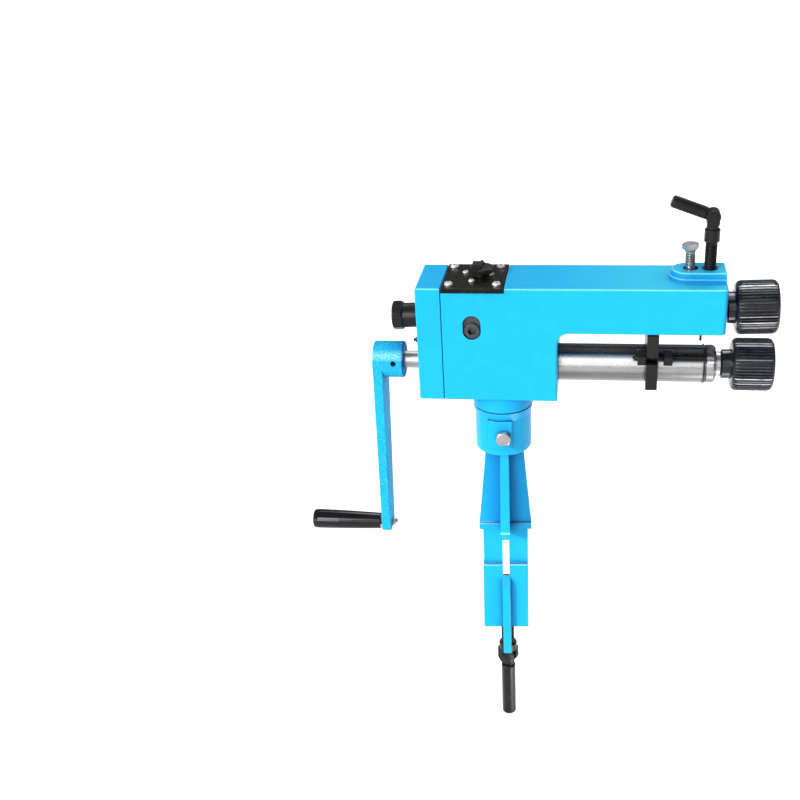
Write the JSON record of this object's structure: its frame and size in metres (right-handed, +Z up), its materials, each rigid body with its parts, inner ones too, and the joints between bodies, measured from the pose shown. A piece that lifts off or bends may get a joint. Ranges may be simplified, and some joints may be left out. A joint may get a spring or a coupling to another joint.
{
  "type": "hand cranked sheet metal crimper",
  "caption": "Bench mounted hand cranked sheet metal crimping machine with ridged rolls, swivel head, folding-handle pressure screw, sliding fence and clamp standard",
  "frame": {"origin": "on the underside of the upper bench jaw, where the swivel axis of the head passes through it", "axes": "+Z up along the swivel axis, +X along the shafts from the crank to the rolls, +Y to the back, where the clamp screw stands and the C of the bench clamp opens"},
  "size_m": [0.5162, 0.1077, 0.7023],
  "materials": {
    "blue_paint": "semi-gloss blue enamel over a casting",
    "crank_paint": "semi-gloss blue enamel over a rough casting",
    "black_steel": "black oxide",
    "black_plate": "satin black",
    "roll_steel": "black oxide, oiled",
    "bright_steel": "turned and ground",
    "tube_steel": "satin",
    "zinc": "zinc plated",
    "spring_steel": "oiled spring wire",
    "bush_bronze": "sintered bronze",
    "grip_black": "high gloss black"
  },
  "bodies": {
    "stand": {"bench_standard": "blue_paint", "socket_bolt": "zinc"},
    "head": {"head_frame": "blue_paint", "swivel_neck": "blue_paint", "gear_cover": "blue_paint", "cover_screw_1": "zinc", "cover_screw_2": "zinc", "cover_screw_3": "zinc", "cover_screw_4": "zinc", "cover_grease_nipple": "black_steel", "top_plate": "black_plate", "plate_screw_1": "zinc", "plate_screw_2": "zinc", "plate_screw_3": "zinc", "plate_screw_4": "zinc", "plug_keeper": "black_plate", "keeper_screw_1": "zinc", "keeper_screw_2": "zinc", "keeper_screw_3": "zinc", "hex_plug": "black_steel", "grease_nipple": "black_steel", "pivot_screw_front": "black_steel", "pivot_screw_back": "black_steel", "lower_tube": "tube_steel", "tube_end_ring": "tube_steel", "lower_bush_front": "bright_steel", "lower_bush_rear": "bush_bronze", "fence_stud": "black_steel", "arm_dowel": "black_steel", "lift_spring": "spring_steel"},
    "crank": {"lower_shaft": "bright_steel", "lower_gear": "black_steel", "lower_gear_key": "bright_steel", "lower_roll": "roll_steel", "lower_roll_screw": "black_steel", "crank_arm": "crank_paint", "crank_set_screw": "black_steel", "handle_pin": "bright_steel"},
    "grip": {"handle_grip": "grip_black"},
    "swing_arm": {"swing_sleeve": "tube_steel", "sleeve_bush_rear": "bush_bronze", "sleeve_bush_front": "bush_bronze", "stop_bolt": "zinc"},
    "upper_spindle": {"upper_shaft": "bright_steel", "upper_gear": "black_steel", "upper_gear_key": "bright_steel", "upper_roll": "roll_steel", "upper_roll_screw": "black_steel", "shaft_knob": "black_steel"},
    "foot": {"pressure_foot": "black_steel"},
    "pressure": {"pressure_screw": "black_steel", "pressure_bar_pin": "black_steel"},
    "pressure_handle": {"pressure_bar": "black_steel"},
    "fence": {"fence_plate": "black_steel", "fence_nut_left": "black_steel", "fence_nut_right": "black_steel"},
    "clamp_foot": {"clamp_pad": "black_steel"},
    "clamp": {"clamp_screw": "black_steel", "clamp_bar_pin": "black_steel"},
    "clamp_handle": {"clamp_bar": "black_steel"}
  },
  "joints": [
    {"name": "head_swivel", "type": "hinge", "parent": "stand", "child": "head", "pos_m": [0, 0, 0.14], "axis": [0, 0, 1], "range_deg": [-180, 180]},
    {"name": "crank_turn", "type": "hinge", "parent": "head", "child": "crank", "pos_m": [0, 0, 0.211], "axis": [1, 0, 0], "continuous": true},
    {"name": "grip_spin", "type": "hinge", "parent": "crank", "child": "grip", "pos_m": [-0.19, 0, -0.001], "axis": [1, 0, 0], "continuous": true},
    {"name": "swing", "type": "hinge", "parent": "head", "child": "swing_arm", "pos_m": [-0.028, 0, 0.26], "axis": [0, 1, 0], "range_deg": [0, 1.96], "stiffness_Nm_per_rad": 158, "springref_deg": -2.01, "deforming": ["lift_spring"]},
    {"name": "upper_spin", "type": "hinge", "parent": "swing_arm", "child": "upper_spindle", "pos_m": [-0.0282, 0, 0.2658], "axis": [0.9994, 0, 0.0342], "continuous": true},
    {"name": "pressure_slide", "type": "slide", "parent": "head", "child": "foot", "axis": [0, 0, -1], "range_m": [0, 0.00836]},
    {"name": "pressure_turn", "type": "hinge", "parent": "foot", "child": "pressure", "pos_m": [0.214, 0, 0.34], "axis": [0, 0, 1], "range_deg": [-1720.1, 0]},
    {"name": "pressure_fold", "type": "hinge", "parent": "pressure", "child": "pressure_handle", "pos_m": [0.214, 0, 0.3728], "axis": [0, 1, 0], "range_deg": [0, 139]},
    {"name": "fence_slide", "type": "slide", "parent": "head", "child": "fence", "axis": [1, 0, 0], "range_m": [0, 0.03]},
    {"name": "clamp_slide", "type": "slide", "parent": "stand", "child": "clamp_foot", "axis": [0, 0, 1], "range_m": [-0.012, 0.04]},
    {"name": "clamp_turn", "type": "hinge", "parent": "clamp_foot", "child": "clamp", "pos_m": [-0.00212, 0.02692, -0.15], "axis": [0, 0, 1], "range_deg": [-2160.1, 7200.1]},
    {"name": "clamp_fold", "type": "hinge", "parent": "clamp", "child": "clamp_handle", "pos_m": [-0.00212, 0.02692, -0.214], "axis": [0.5519, 0.8339, 0], "range_deg": [-95, 95]}
  ],
  "couplings": [
    {"joint": "upper_spin", "follows": "crank_turn", "ratio": -1},
    {"joint": "pressure_turn", "follows": "pressure_slide", "rad_per_m": -3590.4},
    {"joint": "swing", "follows": "pressure_slide", "rad_per_m": 4.0913},
    {"joint": "clamp_turn", "follows": "clamp_slide", "rad_per_m": 3141.6}
  ]
}
